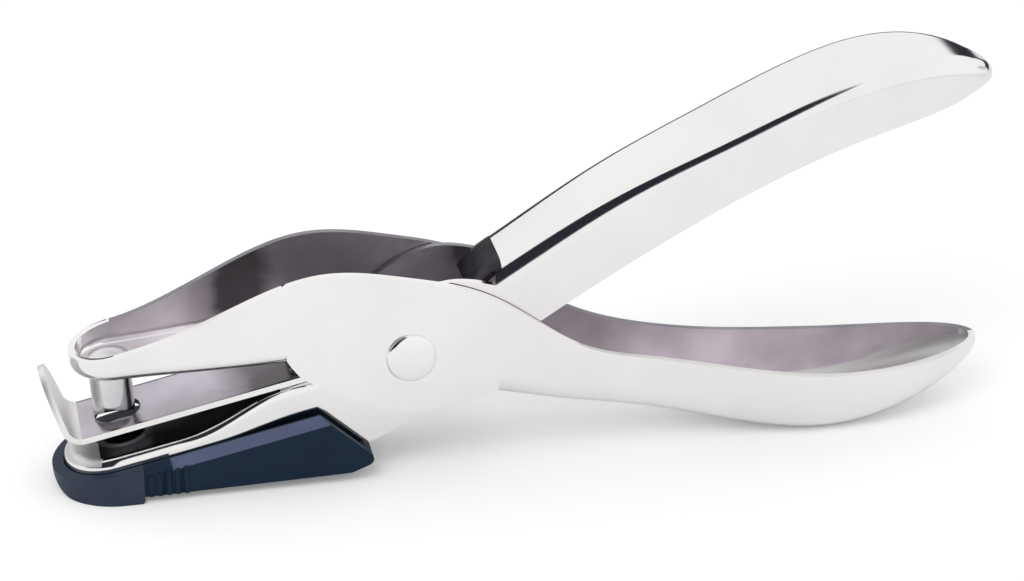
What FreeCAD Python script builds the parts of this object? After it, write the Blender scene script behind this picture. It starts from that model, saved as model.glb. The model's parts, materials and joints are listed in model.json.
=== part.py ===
"""One-hole plier punch: two stamped levers on one rivet, a punch pin, a die and a chip cup.

The model's frame: +X runs from the jaws to the handles, +Z is up, the table is at Z = 0 and
the origin is the middle of the bounding box's bottom. The levers' outlines are drawn from the
pivot axis, which lies along Y. The tool rests open, as it does when nobody holds it.
"""
import FreeCAD, Part
import math
import os

Vector = FreeCAD.Vector
Placement = FreeCAD.Placement
Rotation = FreeCAD.Rotation

DRIVING = (
    # Whole tool: heights and reaches are taken from the pivot, noses from the die's axis
    ("pivot_height", 18.5),
    ("nose_margin", 10.0),
    ("tail_reach", 86.0),
    ("steel", 1.0),
    ("lever_clearance", 0.2),
    ("jaw_slope", 12.0),
    ("closing_angle", 9.0),
    # Punch lever: upper jaw and lower handle
    ("die_reach", 41.8),
    ("floor_rise", 1.3),
    ("punch_nose_margin", 5.6),
    ("punch_nose_radius", 6.3),
    ("jaw_rim_top", 2.0),
    ("jaw_rim_rear_x", -38.0),
    ("jaw_rim_rear_top", 4.2),
    ("hump_front_x", -28.0),
    ("hump_front_top", 8.2),
    ("hump_x", -13.0),
    ("hump_top", 13.6),
    ("hump_rear_top", 12.0),
    ("throat_x", -17.6),
    ("cheek_front_x", -11.4),
    ("cheek_front_drop", 4.2),
    ("cheek_drop", 8.5),
    ("cheek_half_width", 7.85),
    ("cheek_length_front", 15.0),
    ("cheek_length_rear", 19.0),
    ("root_x", 12.5),
    ("root_top", 7.7),
    ("root_drop", 7.6),
    ("cheek_root_drop", 6.6),
    ("rim_dip_x", 24.0),
    ("rim_dip_top", -0.4),
    ("waist_x", 36.0),
    ("waist_half_width", 6.3),
    ("waist_top_drop", 4.7),
    ("waist_drop", 13.5),
    ("belly_x", 66.0),
    ("belly_top_drop", 9.4),
    ("belly_gap", 0.2),
    ("handle_widest_x", 62.0),
    ("handle_half_width", 8.4),
    ("lower_tail_reach", 86.3),
    ("lower_tip_top_drop", 8.3),
    ("lower_tip_drop", 11.0),
    ("jaw_bend", 2.0),
    ("belly_bend", 3.0),
    # Die lever: lower jaw and upper handle
    ("die_face_drop", 3.0),
    ("die_nose_margin", 7.1),
    ("die_jaw_half_width", 7.5),
    ("ramp_start", 34.0),
    ("ramp_end", 18.5),
    ("web_end", 12.6),
    ("neck_front", 28.0),
    ("nose_wall", 3.4),
    ("heel_x", -5.7),
    ("heel_drop", 13.4),
    ("belly_front_x", 3.0),
    ("belly_front_drop", 9.2),
    ("front_edge_x", -2.8),
    ("front_edge_top", 6.7),
    ("front_edge_crest_x", 6.2),
    ("front_edge_crest_top", 10.6),
    ("front_edge_rear_top", 9.5),
    ("tongue_x", 8.7),
    ("tongue_top", 8.2),
    ("tongue_slope", 52.0),
    ("tongue_gap", 0.3),
    ("spine_front_x", 12.5),
    ("spine_front_top", 11.7),
    ("spine_near_x", 28.0),
    ("spine_near_top", 21.0),
    ("spine_mid_x", 44.0),
    ("spine_mid_top", 28.5),
    ("spine_crest_x", 74.0),
    ("spine_crest_top", 38.4),
    ("upper_tip_top", 34.4),
    ("upper_tip_bottom", 31.8),
    ("grip_front_x", 14.0),
    ("grip_front_bottom", 0.2),
    ("grip_mid_x", 41.0),
    ("grip_mid_bottom", 17.0),
    ("grip_rear_x", 70.0),
    ("grip_rear_bottom", 29.5),
    ("upper_widest_x", 64.0),
    ("upper_half_width", 8.6),
    ("die_bend", 1.2),
    ("spine_bend", 2.4),
    # Punch pin and die
    ("pin_diameter", 6.0),
    ("pin_length", 6.42),
    ("pin_arch", 1.4),
    ("tenon_diameter", 4.0),
    ("pin_head_diameter", 6.2),
    ("pin_head_height", 0.7),
    ("die_clearance", 0.22),
    ("die_thickness", 2.6),
    ("die_neck_diameter", 8.4),
    ("die_flange_diameter", 10.6),
    # Stripper plate over the die, with its paper lip
    ("stripper_thickness", 0.85),
    ("stripper_half_width", 5.75),
    ("stripper_hole_clearance", 0.35),
    ("paper_slot", 2.8),
    ("lip_margin", 6.9),
    ("lip_angle", 80.0),
    ("lip_length", 9.6),
    ("lip_bend", 2.0),
    ("lip_round", 3.0),
    ("plate_rivet_diameter", 2.0),
    ("plate_rivet_head", 3.4),
    ("plate_rivet_head_height", 0.45),
    ("plate_rivet_place", 15.4),
    ("plate_rivet_spacing", 6.0),
    # Pivot rivet with its bush
    ("rivet_diameter", 5.0),
    ("rivet_head_diameter", 7.2),
    ("rivet_head_height", 0.9),
    ("rivet_dome", 0.35),
    ("rivet_clearance", 0.05),
    ("bush_wall", 1.1),
    # Return spring
    ("spring_wire", 1.2),
    ("spring_clearance", 0.3),
    ("spring_pitch", 1.5),
    ("spring_turns", 4.0),
    ("spring_leg_end", 6.0),
    # Chip cup
    ("cup_wall", 1.2),
    ("cup_clearance", 0.15),
    ("cup_rim_drop", 1.8),
    ("cup_floor", 1.4),
    ("cup_seat_width", 1.3),
    ("cup_rear_top_x", -13.2),
    ("cup_rear_foot_x", -5.3),
    ("cup_rear_foot_height", 3.4),
    ("cup_bottom_rear_x", -9.3),
    ("cup_rear_lift", 1.1),
    ("cup_rear_wall", 3.6),
    ("cup_nose_proud", 0.4),
    ("cup_nose_length", 11.85),
    ("cup_nose_toe", 2.6),
    ("cup_band", 1.0),
    ("rib_count", 5),
    ("rib_pitch", 1.25),
    ("rib_width", 0.6),
    ("rib_proud", 0.35),
)
# Long enough to reach past every outline
SPAN = 60.0
# Points of the spring's path in one turn
TURN_POINTS = 16
# A web face is one whose middle normal is at least this upright
UPRIGHT_SHARE = 0.4

doc = FreeCAD.newDocument("plier_punch")
sheet = doc.addObject("Spreadsheet::Sheet", "sizes")
for row, (alias, value) in enumerate(DRIVING, start=1):
    sheet.set(f"A{row}", alias)
    sheet.set(f"B{row}", str(value))
    sheet.setAlias(f"B{row}", alias)
doc.recompute()


def size(alias):
    """The driving dimension of that name, in millimetres or degrees."""
    return float(sheet.get(alias))


def bind(thing, **properties):
    """Ties properties of an object to expressions over the sheet."""
    for name, text in properties.items():
        thing.setExpression(name, text)


# Frames. All bodies are drawn from the pivot axis, and the tool's placement sets them down.
NOSE = size("die_reach") + size("nose_margin")
PUNCH_NOSE = size("die_reach") + size("punch_nose_margin")
DIE_NOSE = size("die_reach") + size("die_nose_margin")
PIVOT_X = (NOSE - size("tail_reach")) / 2
PIVOT = Vector(PIVOT_X, 0, size("pivot_height"))
DIE_TILT = math.radians(size("jaw_slope"))
PUNCH_TILT = math.radians(size("jaw_slope") - size("closing_angle"))
PLATE_TOP = size("paper_slot") + size("stripper_thickness") - size("die_face_drop")
PLATE_SEAT = size("paper_slot") - size("die_face_drop")
CHEEK_INNER = size("cheek_half_width") - size("steel") - size("lever_clearance")


def tilted(tilt, along, rise):
    """A point given along and square to a jaw plane through the pivot, as (x, z)."""
    x = along * math.cos(tilt) - rise * math.sin(tilt)
    z = along * math.sin(tilt) + rise * math.cos(tilt)
    return x, z


def on_tilt(tilt, x, rise):
    """The point over x that lies that far above a jaw plane through the pivot."""
    along = (x + rise * math.sin(tilt)) / math.cos(tilt)
    return tilted(tilt, along, rise)


def line(start, end):
    return Part.LineSegment(Vector(*start, 0), Vector(*end, 0))


def arc(start, middle, end):
    return Part.Arc(Vector(*start, 0), Vector(*middle, 0), Vector(*end, 0))


def loop(corners):
    """Straight lines round the corners, closed."""
    return [line(a, b) for a, b in zip(corners, corners[1:] + corners[:1])]


def smooth(points, first=None, last=None):
    """A spline through the points, with the directions at its ends where they are given."""
    curve = Part.BSplineCurve()
    if first is None:
        curve.interpolate([Vector(*point, 0) for point in points])
    else:
        curve.interpolate(
            Points=[Vector(*point, 0) for point in points],
            InitialTangent=Vector(*first, 0),
            FinalTangent=Vector(*last, 0),
        )
    return curve


UPRIGHT = Placement(Vector(), Rotation(Vector(1, 0, 0), 90))
FLAT = Placement()


def sketch(name, curves, plane):
    drawing = doc.addObject("Sketcher::SketchObject", name)
    drawing.Placement = plane
    drawing.addGeometry(curves, False)
    return drawing


def prism(name, curves, plane, length):
    """A closed outline drawn on a plane and extruded evenly to both sides of it."""
    block = doc.addObject("Part::Extrusion", name)
    block.Base = sketch(name + "_outline", curves, plane)
    block.DirMode = "Normal"
    block.Symmetric = True
    block.Solid = True
    if isinstance(length, str):
        bind(block, LengthFwd=length)
    else:
        block.LengthFwd = length
    return block


def join(kind, name, base, *tools):
    """A boolean of whole objects: Common, Cut or MultiFuse."""
    if kind == "Part::MultiFuse":
        result = doc.addObject(kind, name)
        result.Shapes = [base, *tools]
        doc.recompute()
        return result
    for index, tool in enumerate(tools):
        last = index == len(tools) - 1
        result = doc.addObject(kind, name if last else f"{name}_{index}")
        result.Base = base
        result.Tool = tool
        base = result
    doc.recompute()
    return base


def bend(name, base, radius, chosen):
    """Rounds the edges that the test chooses."""
    rounded = doc.addObject("Part::Fillet", name)
    rounded.Base = base
    picked = [i for i, edge in enumerate(base.Shape.Edges, start=1) if chosen(edge)]
    rounded.Edges = [(i, radius, radius) for i in picked]
    doc.recompute()
    return rounded


def across_cylinder(name, x, z, radius, length):
    """A cylinder along Y, centred on the middle plane; its sizes are expressions."""
    rod = doc.addObject("Part::Cylinder", name)
    bind(rod, Radius=radius, Height=length)
    doc.recompute()
    half = rod.Height.Value / 2
    rod.Placement = Placement(Vector(x, half, z), Rotation(Vector(1, 0, 0), 90))
    return rod


def tilted_cylinder(name, tilt, along, rise, radius, height, across=0.0):
    """A cylinder square to a jaw plane, standing on the given point of it."""
    rod = doc.addObject("Part::Cylinder", name)
    bind(rod, Radius=radius, Height=height)
    x, z = tilted(tilt, along, rise)
    turn = Rotation(Vector(0, 1, 0), -math.degrees(tilt))
    rod.Placement = Placement(Vector(x, across, z), turn)
    return rod


def strip(name, x_from, x_to):
    """A block across the tool that keeps a stretch of its length."""
    corners = ((x_from, -SPAN), (x_to, -SPAN), (x_to, SPAN), (x_from, SPAN))
    return prism(name, loop(corners), UPRIGHT, SPAN)


def rounded_plan(nose_x, nose_radius, side, tail_x, widest_x, half_width):
    """A lever's plan: round nose, two sides through the given points, oval tail.

    Each side is a list of stretches: a pair of points is straight, more points are a spline.
    """
    centre_x = nose_x + nose_radius
    curves = [arc((centre_x, nose_radius), (nose_x, 0), (centre_x, -nose_radius))]
    for mirror in (1, -1):
        for stretch in side:
            points = [(x, mirror * y) for x, y in stretch]
            if len(points) == 2:
                curves.append(line(*points))
            else:
                curves.append(smooth(points, (1, 0), (1, 0)))
    oval = Part.Ellipse(Vector(widest_x, 0, 0), tail_x - widest_x, half_width)
    curves.append(Part.ArcOfEllipse(oval, -math.pi / 2, math.pi / 2))
    return curves


def stretch(name, side, plan, x_from, x_to):
    """Side outline and plan in common, between two stations along the tool."""
    return join("Part::Common", name, side, plan, strip(name + "_reach", x_from, x_to))


def bent_stretch(name, side, plan, x_from, x_to, radius, web_way):
    """A stretch whose web, the faces looking down (-1) or up (1), is bent into its walls."""
    block = stretch(name + "_block", side, plan, x_from, x_to)
    web = [face for face in block.Shape.Faces if web_way * middle_normal(face).z > UPRIGHT_SHARE]
    along = [edge for face in web for edge in face.Edges if edge.BoundBox.XLength > size("steel") / 100]
    return bend(name, block, radius, lambda edge: any(edge.isSame(one) for one in along))


def middle_normal(face):
    u_from, u_to, v_from, v_to = face.ParameterRange
    return face.normalAt((u_from + u_to) / 2, (v_from + v_to) / 2)


# --- Punch lever: a channel open at the top, with no floor between throat and handle root ---

def punch_side(inset):
    """The side outline of the punch lever, or of its hollow for an inset of the steel.

    It runs past the plan at both ends, and the hollow is open at the top.
    """
    lowest = size("pivot_height") - size("belly_gap")
    nose = -PUNCH_NOSE - size("steel")
    tail = size("lower_tail_reach") + size("steel")
    floor_rise = size("floor_rise") + inset
    top = (
        (nose, size("jaw_rim_top")),
        (size("jaw_rim_rear_x"), size("jaw_rim_rear_top")),
        (size("hump_front_x"), size("hump_front_top")),
        (size("hump_x"), size("hump_top")),
        (0.0, size("hump_rear_top")),
        (size("root_x"), size("root_top")),
        (size("rim_dip_x"), size("rim_dip_top")),
        (size("waist_x"), -size("waist_top_drop")),
        (size("belly_x"), -size("belly_top_drop")),
        (tail, -size("lower_tip_top_drop")),
    )
    floor_front = on_tilt(PUNCH_TILT, nose, floor_rise)
    throat = on_tilt(PUNCH_TILT, size("throat_x"), floor_rise)
    root = (size("root_x"), -size("root_drop") + inset)
    cheek = (
        throat,
        (size("cheek_front_x"), -size("cheek_front_drop") + inset),
        (0.0, -size("cheek_drop") + inset),
        (size("root_x"), -size("cheek_root_drop") + inset),
    )
    belly = (
        root,
        (size("waist_x"), -size("waist_drop") + inset),
        (size("belly_x"), -lowest + inset),
        (tail, -size("lower_tip_drop") + inset),
    )
    bottom = [
        line(floor_front, throat), smooth(cheek), line(cheek[-1], root), smooth(belly)]
    if inset:
        above = ((nose, SPAN / 2), (tail, SPAN / 2))
        return bottom + [
            line(*above), line(above[1], belly[-1]), line(floor_front, above[0])]
    return bottom + [smooth(top), line(top[-1], belly[-1]), line(floor_front, top[0])]


def punch_plan(inset):
    """The plan of the punch lever, or of its hollow for an inset of the steel."""
    cheek = size("cheek_half_width") - inset
    nose_radius = size("punch_nose_radius") - inset
    nose_x = -PUNCH_NOSE + inset
    front = (
        (nose_x + nose_radius, nose_radius),
        (-(PUNCH_NOSE + size("cheek_length_front")) / 2,
         (nose_radius + cheek) / 2),
        (-size("cheek_length_front"), cheek),
    )
    flat = ((-size("cheek_length_front"), cheek), (size("cheek_length_rear"), cheek))
    rear = (
        (size("cheek_length_rear"), cheek),
        (size("waist_x"), size("waist_half_width") - inset),
        (size("handle_widest_x"), size("handle_half_width") - inset),
    )
    return rounded_plan(
        nose_x, nose_radius, (front, flat, rear), size("lower_tail_reach") - inset,
        size("handle_widest_x"), size("handle_half_width") - inset,
    )


def punch_block(name, inset):
    """The jaw, the cheeks and the handle of the punch lever, or of its hollow."""
    side = prism(name + "_side", punch_side(inset), UPRIGHT, SPAN)
    plan = prism(name + "_plan", punch_plan(inset), FLAT, 2 * SPAN)
    throat = size("throat_x")
    root = size("root_x")
    jaw = bent_stretch(
        name + "_jaw", side, plan, -SPAN, throat, size("jaw_bend") - inset, -1)
    handle = bent_stretch(
        name + "_handle", side, plan, root, 2 * SPAN, size("belly_bend") - inset, -1)
    cheeks = stretch(name + "_cheeks", plan if inset else side, plan, throat, root)
    return join("Part::MultiFuse", name, jaw, cheeks, handle)


def make_punch_lever():
    outer = punch_block("punch_outer", 0.0)
    inner = punch_block("punch_inner", size("steel"))
    pivot_hole = across_cylinder(
        "punch_pivot_hole", 0, 0, "sizes.rivet_diameter / 2", "4 * sizes.cheek_half_width")
    pin_hole = tilted_cylinder(
        "punch_pin_hole", PUNCH_TILT, -size("die_reach"), 0,
        "sizes.tenon_diameter / 2", "sizes.floor_rise + 3 * sizes.steel")
    return join("Part::Cut", "punch_lever", outer, inner, pivot_hole, pin_hole)


# --- Die lever: a channel open at the bottom, with no web between the jaw and the handle ---

def die_side(inset):
    """The side outline of the die lever, or of its hollow for an inset of the steel.

    It runs past the plan at both ends, and the hollow is open at the bottom.
    """
    nose = -DIE_NOSE - size("steel")
    tail = size("tail_reach") + size("steel")
    face = -size("die_face_drop") - inset
    seat = PLATE_SEAT - inset
    nose_top = on_tilt(DIE_TILT, nose, face)
    ramp_front = tilted(DIE_TILT, -size("ramp_start"), face)
    ramp_rear = tilted(DIE_TILT, -size("ramp_end"), seat)
    ramp_middle = tuple((a + b) / 2 for a, b in zip(ramp_front, ramp_rear))
    web_end = tilted(DIE_TILT, -size("web_end"), seat)
    along = (math.cos(DIE_TILT), math.sin(DIE_TILT))
    front_edge = (
        web_end,
        (size("front_edge_x"), size("front_edge_top") - inset),
        (size("front_edge_crest_x"), size("front_edge_crest_top") - inset),
        (size("spine_front_x"), size("front_edge_rear_top") - inset),
    )
    spine = (
        (size("spine_front_x"), size("spine_front_top") - inset),
        (size("spine_near_x"), size("spine_near_top") - inset),
        (size("spine_mid_x"), size("spine_mid_top") - inset),
        (size("spine_crest_x"), size("spine_crest_top") - inset),
        (tail, size("upper_tip_top") - inset),
    )
    top = [
        line(nose_top, ramp_front),
        smooth((ramp_front, ramp_middle, ramp_rear), along, along),
        line(ramp_rear, web_end),
        smooth(front_edge),
        line(front_edge[-1], spine[0]),
        smooth(spine),
    ]
    if inset:
        below = ((nose, -SPAN / 2), (tail, -SPAN / 2))
        return top + [line(spine[-1], below[1]), line(*below), line(below[0], nose_top)]
    nose_foot = on_tilt(DIE_TILT, nose, face - size("nose_wall"))
    heel = (size("heel_x"), -size("heel_drop"))
    belly_front = (size("belly_front_x"), -size("belly_front_drop"))
    grip = (
        (size("grip_front_x"), size("grip_front_bottom")),
        (size("grip_mid_x"), size("grip_mid_bottom")),
        (size("grip_rear_x"), size("grip_rear_bottom")),
        (tail, size("upper_tip_bottom")),
    )
    return top + [
        line(spine[-1], grip[-1]), smooth(grip), line(grip[0], belly_front),
        line(belly_front, heel), line(heel, nose_foot), line(nose_foot, nose_top),
    ]


def die_plan(inset):
    """The plan of the die lever, or of its hollow for an inset of the steel."""
    nose_radius = size("die_jaw_half_width") - inset
    nose_x = -DIE_NOSE + inset
    cheek = CHEEK_INNER - inset
    neck_front = -size("neck_front")
    neck_rear = -size("cheek_length_front")
    jaw = ((nose_x + nose_radius, nose_radius), (neck_front, nose_radius))
    neck = (
        (neck_front, nose_radius),
        ((neck_front + neck_rear) / 2, (nose_radius + cheek) / 2),
        (neck_rear, cheek),
    )
    flat = ((neck_rear, cheek), (size("grip_front_x"), cheek))
    rear = (
        (size("grip_front_x"), cheek),
        ((size("grip_front_x") + size("upper_widest_x")) / 2,
         (cheek + size("upper_half_width") - inset) / 2),
        (size("upper_widest_x"), size("upper_half_width") - inset),
    )
    return rounded_plan(
        nose_x, nose_radius, (jaw, neck, flat, rear), size("tail_reach") - inset,
        size("upper_widest_x"), size("upper_half_width") - inset,
    )


def die_block(name, inset):
    """The jaw, the cheeks and the handle of the die lever, or of its hollow."""
    side = prism(name + "_side", die_side(inset), UPRIGHT, SPAN)
    plan = prism(name + "_plan", die_plan(inset), FLAT, 3 * SPAN)
    web_end = tilted(DIE_TILT, -size("web_end"), PLATE_SEAT)[0]
    spine_front = size("spine_front_x")
    jaw = bent_stretch(
        name + "_jaw", side, plan, -SPAN, web_end, size("die_bend") - inset, 1)
    handle = bent_stretch(
        name + "_handle", side, plan, spine_front, 2 * SPAN, size("spine_bend") - inset, 1)
    cheeks = stretch(name + "_cheeks", plan if inset else side, plan, web_end, spine_front)
    return join("Part::MultiFuse", name, jaw, cheeks, handle)


def tongue_end(depth):
    """The tongue's end, that far under its upper face."""
    slope = math.radians(size("tongue_slope"))
    return (size("tongue_x") + depth * math.sin(slope),
            size("tongue_top") - depth * math.cos(slope))


def die_tongue():
    """The web's front end, curled down between the cheeks as a seat for the spring."""
    steel = size("steel")
    front = size("spine_front_x")
    top = (front, size("spine_front_top"))
    root = (front, size("spine_front_top") - steel)
    slope = math.radians(size("tongue_slope"))
    web_slope = math.atan2(size("spine_near_top") - top[1], size("spine_near_x") - front)
    turn = slope - web_slope
    chord = math.dist(top, tongue_end(0))
    sag = chord / 2 * math.tan(turn / 4)
    lean = (slope + web_slope) / 2

    def middle(start, end):
        return ((start[0] + end[0]) / 2 - sag * math.sin(lean),
                (start[1] + end[1]) / 2 + sag * math.cos(lean))

    low_end = tongue_end(steel)
    outline = [
        arc(top, middle(top, tongue_end(0)), tongue_end(0)),
        line(tongue_end(0), low_end),
        arc(low_end, middle(low_end, root), root),
        line(root, top),
    ]
    half_width = CHEEK_INNER - steel - size("tongue_gap")
    return prism("die_tongue", outline, UPRIGHT, 2 * half_width)


def make_die_lever():
    outer = die_block("die_outer", 0.0)
    inner = die_block("die_inner", size("steel"))
    pivot_hole = across_cylinder(
        "die_pivot_hole", 0, 0,
        "sizes.rivet_diameter / 2 + sizes.rivet_clearance", "4 * sizes.cheek_half_width")
    die_hole = tilted_cylinder(
        "die_seat_hole", DIE_TILT, -size("die_reach"), -size("die_face_drop") - 3 * size("steel"),
        "sizes.die_neck_diameter / 2", "6 * sizes.steel")
    holes = plate_rivet_rods("die_rivet_hole", 4 * size("steel"))
    shell = join("Part::Cut", "die_shell", outer, inner, pivot_hole, die_hole, *holes)
    return join("Part::MultiFuse", "die_lever", shell, die_tongue())


# --- Punch pin, die bush ---

def make_punch_pin():
    reach = -size("die_reach")
    rise = size("floor_rise")
    body = tilted_cylinder(
        "pin_body", PUNCH_TILT, reach, rise - size("pin_length"),
        "sizes.pin_diameter / 2", "sizes.pin_length")
    tenon = tilted_cylinder(
        "pin_tenon", PUNCH_TILT, reach, rise, "sizes.tenon_diameter / 2", "sizes.steel")
    head = tilted_cylinder(
        "pin_head", PUNCH_TILT, reach, rise + size("steel"),
        "sizes.pin_head_diameter / 2", "sizes.pin_head_height")
    whole = join("Part::MultiFuse", "pin_whole", body, tenon, head)
    half = size("pin_diameter") / 2
    arch_radius = (half ** 2 + size("pin_arch") ** 2) / (2 * size("pin_arch"))
    centre = tilted(
        PUNCH_TILT, reach, rise - size("pin_length") + size("pin_arch") - arch_radius)
    arch = across_cylinder(
        "pin_arch_cut", *centre,
        "(sizes.pin_diameter ^ 2 / 4 + sizes.pin_arch ^ 2) / (2 * sizes.pin_arch)",
        "2 * sizes.pin_diameter")
    return join("Part::Cut", "punch_pin", whole, arch)


def make_die_bush():
    reach = -size("die_reach")
    top = -size("die_face_drop")
    neck = tilted_cylinder(
        "bush_neck", DIE_TILT, reach, top - size("steel"),
        "sizes.die_neck_diameter / 2", "sizes.steel")
    flange = tilted_cylinder(
        "bush_flange", DIE_TILT, reach, top - size("die_thickness"),
        "sizes.die_flange_diameter / 2", "sizes.die_thickness - sizes.steel")
    ring = join("Part::MultiFuse", "bush_ring", neck, flange)
    bore = tilted_cylinder(
        "bush_bore", DIE_TILT, reach, top - 2 * size("die_thickness"),
        "sizes.pin_diameter / 2 + sizes.die_clearance", "3 * sizes.die_thickness")
    return join("Part::Cut", "die_bush", ring, bore)


# --- Stripper plate with its rivets ---

def plate_rivet_rods(name, length):
    """Two rods through plate and jaw, one each side of the middle plane."""
    middle = PLATE_SEAT - length / 2
    return [
        tilted_cylinder(
            f"{name}_{index}", DIE_TILT, -size("plate_rivet_place"), middle,
            "sizes.plate_rivet_diameter / 2", f"{length} mm",
            side * size("plate_rivet_spacing") / 2)
        for index, side in enumerate((-1, 1), start=1)
    ]


def make_stripper_plate():
    """A flat plate over the paper slot, with a lip that leads the paper in."""
    thick = size("stripper_thickness")
    lean = math.radians(size("lip_angle"))
    bend_top = size("lip_bend")
    setback = bend_top * math.tan(lean / 2)
    centre = (setback - (size("die_reach") + size("lip_margin")), PLATE_TOP + bend_top)

    def on_bend(radius, angle):
        return centre[0] - radius * math.sin(angle), centre[1] - radius * math.cos(angle)

    outer = bend_top + thick
    lip = size("lip_length") - setback
    top_end = on_bend(bend_top, lean)
    tip_top = (top_end[0] - lip * math.cos(lean), top_end[1] + lip * math.sin(lean))
    tip_bottom = (tip_top[0] - thick * math.sin(lean), tip_top[1] - thick * math.cos(lean))
    tail = -size("web_end")
    points = {
        "tail_top": (tail, PLATE_TOP),
        "bend_top": on_bend(bend_top, 0),
        "bend_top_end": top_end,
        "tip_top": tip_top,
        "tip_bottom": tip_bottom,
        "bend_low_end": on_bend(outer, lean),
        "bend_low": on_bend(outer, 0),
        "tail_low": (tail, PLATE_TOP - thick),
    }
    spot = {name: tilted(DIE_TILT, *point) for name, point in points.items()}
    top_middle = tilted(DIE_TILT, *on_bend(bend_top, lean / 2))
    low_middle = tilted(DIE_TILT, *on_bend(outer, lean / 2))
    side = prism("plate_side", [
        line(spot["tail_top"], spot["bend_top"]),
        arc(spot["bend_top"], top_middle, spot["bend_top_end"]),
        line(spot["bend_top_end"], spot["tip_top"]),
        line(spot["tip_top"], spot["tip_bottom"]),
        line(spot["tip_bottom"], spot["bend_low_end"]),
        arc(spot["bend_low_end"], low_middle, spot["bend_low"]),
        line(spot["bend_low"], spot["tail_low"]),
        line(spot["tail_low"], spot["tail_top"]),
    ], UPRIGHT, "2 * sizes.stripper_half_width")
    half_width = size("stripper_half_width")
    centre_x = size("lip_round") - NOSE
    oval = Part.Ellipse(Vector(centre_x, 0, 0), half_width, size("lip_round"))
    oval.rotate(Placement(Vector(centre_x, 0, 0), Rotation(Vector(0, 0, 1), 90)))
    plan = prism("plate_plan", [
        Part.ArcOfEllipse(oval, 0, math.pi),
        line((centre_x, half_width), (0, half_width)),
        line((0, half_width), (0, -half_width)),
        line((0, -half_width), (centre_x, -half_width)),
    ], FLAT, 2 * SPAN)
    plate = join("Part::Common", "plate_blank", side, plan)
    hole = tilted_cylinder(
        "plate_hole", DIE_TILT, -size("die_reach"), PLATE_SEAT - thick,
        "sizes.pin_diameter / 2 + sizes.stripper_hole_clearance", "3 * sizes.steel")
    return join("Part::Cut", "stripper_plate", plate, hole, *plate_rivet_rods(
        "plate_rivet_hole", 4 * size("steel")))


def make_stripper_rivets():
    head = size("plate_rivet_head_height")
    through = size("steel") + size("stripper_thickness")
    pieces = []
    for index, side in enumerate((-1, 1), start=1):
        across = side * size("plate_rivet_spacing") / 2
        place = -size("plate_rivet_place")
        bottom = PLATE_SEAT - size("steel")
        shank = tilted_cylinder(
            f"plate_rivet_shank_{index}", DIE_TILT, place, bottom,
            "sizes.plate_rivet_diameter / 2", "sizes.steel + sizes.stripper_thickness", across)
        heads = [
            tilted_cylinder(
                f"plate_rivet_{label}_{index}", DIE_TILT, place, rise,
                "sizes.plate_rivet_head / 2", "sizes.plate_rivet_head_height", across)
            for label, rise in (("head", bottom + through), ("tail", bottom - head))
        ]
        pieces.append(join("Part::MultiFuse", f"plate_rivet_{index}", shank, *heads))
    group = doc.addObject("Part::Compound", "stripper_rivets")
    group.Links = pieces
    return group


# --- Pivot rivet and bush ---

def make_pivot_rivet():
    """A shank with a low domed head at each end, turned about the pivot axis."""
    shank = size("rivet_diameter") / 2
    head = size("rivet_head_diameter") / 2
    face = size("cheek_half_width")
    rim = face + size("rivet_head_height") - size("rivet_dome")
    crown = face + size("rivet_head_height")
    body = doc.addObject("PartDesign::Body", "pivot_rivet")
    profile = body.newObject("Sketcher::SketchObject", "rivet_profile")
    planes = {feature.Role: feature for feature in body.Origin.OriginFeatures}
    profile.AttachmentSupport = [(planes["XY_Plane"], "")]
    profile.MapMode = "FlatFace"
    dome_radius = (head ** 2 + size("rivet_dome") ** 2) / (2 * size("rivet_dome"))
    lift = dome_radius - dome_radius * math.cos(math.asin(head / 2 / dome_radius))
    profile.addGeometry([
        line((0, -crown), (0, crown)),
        arc((0, crown), (head / 2, crown - lift), (head, rim)),
        line((head, rim), (head, face)),
        line((head, face), (shank, face)),
        line((shank, face), (shank, -face)),
        line((shank, -face), (head, -face)),
        line((head, -face), (head, -rim)),
        arc((head, -rim), (head / 2, lift - crown), (0, -crown)),
    ], False)
    turned = body.newObject("PartDesign::Revolution", "rivet_turned")
    turned.Profile = profile
    turned.ReferenceAxis = (profile, ["V_Axis"])
    turned.Angle = 360
    return body


def make_pivot_bush():
    tube = across_cylinder(
        "bush_tube", 0, 0, "sizes.rivet_diameter / 2 + sizes.rivet_clearance + sizes.bush_wall",
        "2 * (sizes.cheek_half_width - 2 * sizes.steel - sizes.lever_clearance)")
    bore = across_cylinder(
        "pivot_bush_bore", 0, 0, "sizes.rivet_diameter / 2 + sizes.rivet_clearance",
        "4 * sizes.cheek_half_width")
    return join("Part::Cut", "pivot_bush", tube, bore)


# --- Return spring: a coil round the bush, one leg under the tongue, one on the lower web ---

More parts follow.
